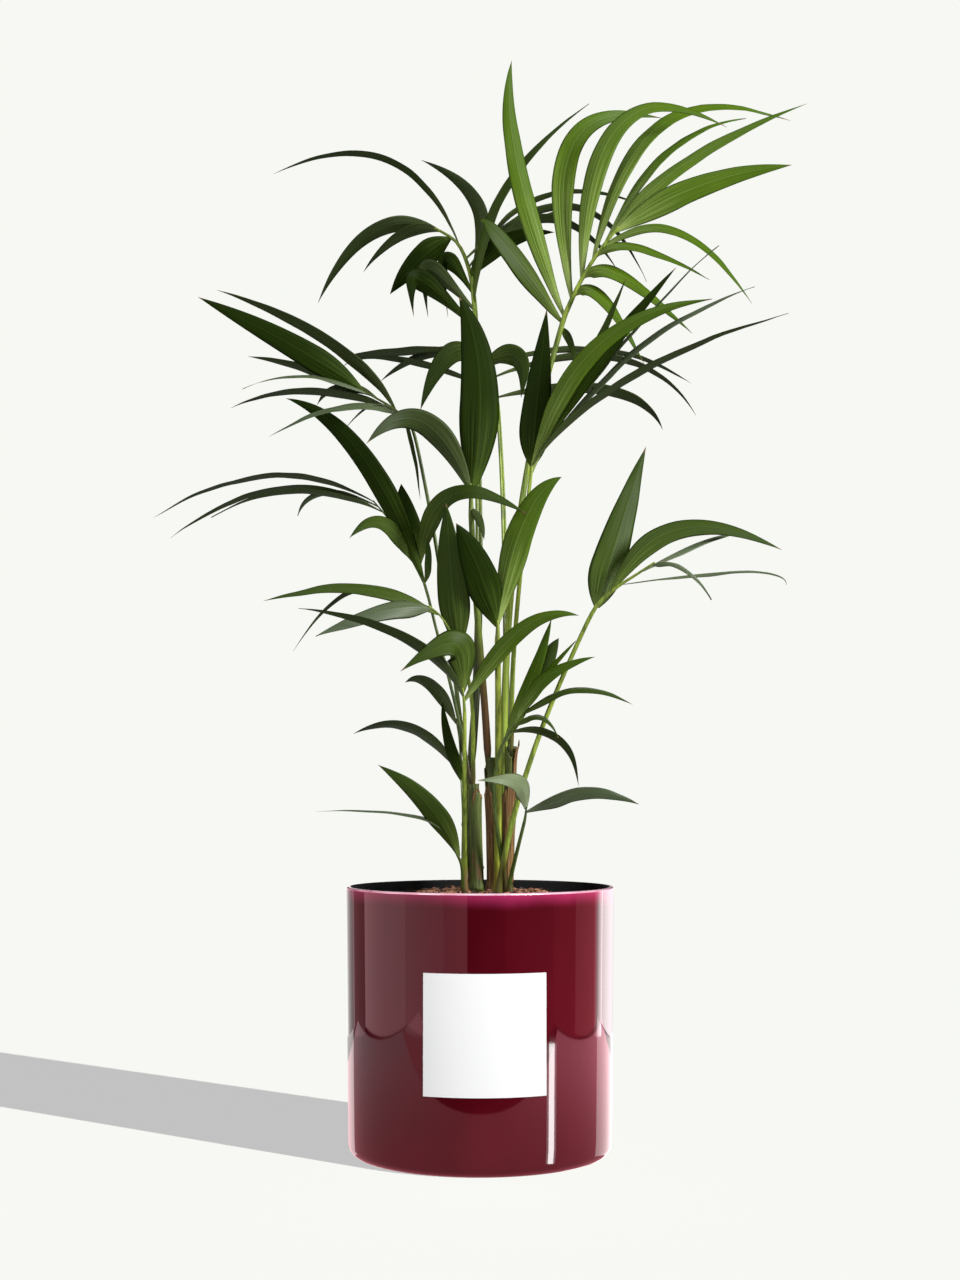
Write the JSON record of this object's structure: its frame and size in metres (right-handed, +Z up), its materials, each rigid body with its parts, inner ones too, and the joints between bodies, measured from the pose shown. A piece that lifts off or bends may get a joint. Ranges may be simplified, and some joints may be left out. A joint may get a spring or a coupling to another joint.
{
  "type": "kentia palm in a glazed pot",
  "caption": "Young kentia palm clump with arching feather fronds on slender petioles, rooted in soil in a round glazed pot.",
  "frame": {"origin": "centre of the pot's flat underside", "axes": "+Z up through the pot's axis, -Y towards the front, where the label is"},
  "size_m": [0.6362, 0.365, 1.0104],
  "materials": {
    "burgundy_glaze": "high-gloss burgundy glaze",
    "blank_label": "smooth white paper, bare",
    "potting_soil": "damp bark and coir chips",
    "sheathed_stem": "green cane with dry brown fibre sheaths",
    "lime_petiole": "waxy lime green stalk",
    "dark_green_blade": "satin dark green leaf",
    "bright_green_blade": "satin bright green leaf"
  },
  "bodies": {
    "root": {"pot": "burgundy_glaze", "label": "blank_label", "soil": "potting_soil", "stem_left": "sheathed_stem", "stem_left_back": "sheathed_stem", "stem_middle": "sheathed_stem", "stem_right": "sheathed_stem", "stem_right_back": "sheathed_stem", "petiole_a": "lime_petiole", "petiole_b": "lime_petiole", "petiole_c": "lime_petiole", "petiole_d": "lime_petiole", "petiole_e": "lime_petiole", "petiole_f": "lime_petiole", "petiole_g": "lime_petiole", "petiole_h": "lime_petiole", "petiole_i": "lime_petiole", "petiole_j": "lime_petiole", "petiole_k": "lime_petiole", "petiole_l": "lime_petiole", "petiole_m": "lime_petiole", "petiole_n": "lime_petiole", "petiole_o": "lime_petiole", "frond_a": "bright_green_blade", "frond_b": "dark_green_blade", "frond_c": "dark_green_blade", "frond_d": "dark_green_blade", "frond_e": "dark_green_blade", "frond_f": "dark_green_blade", "frond_g": "dark_green_blade", "frond_h": "dark_green_blade", "frond_i": "bright_green_blade", "frond_j": "dark_green_blade", "frond_k": "dark_green_blade", "frond_l": "dark_green_blade", "frond_m": "dark_green_blade", "frond_n": "dark_green_blade", "frond_o": "dark_green_blade"}
  },
  "joints": []
}
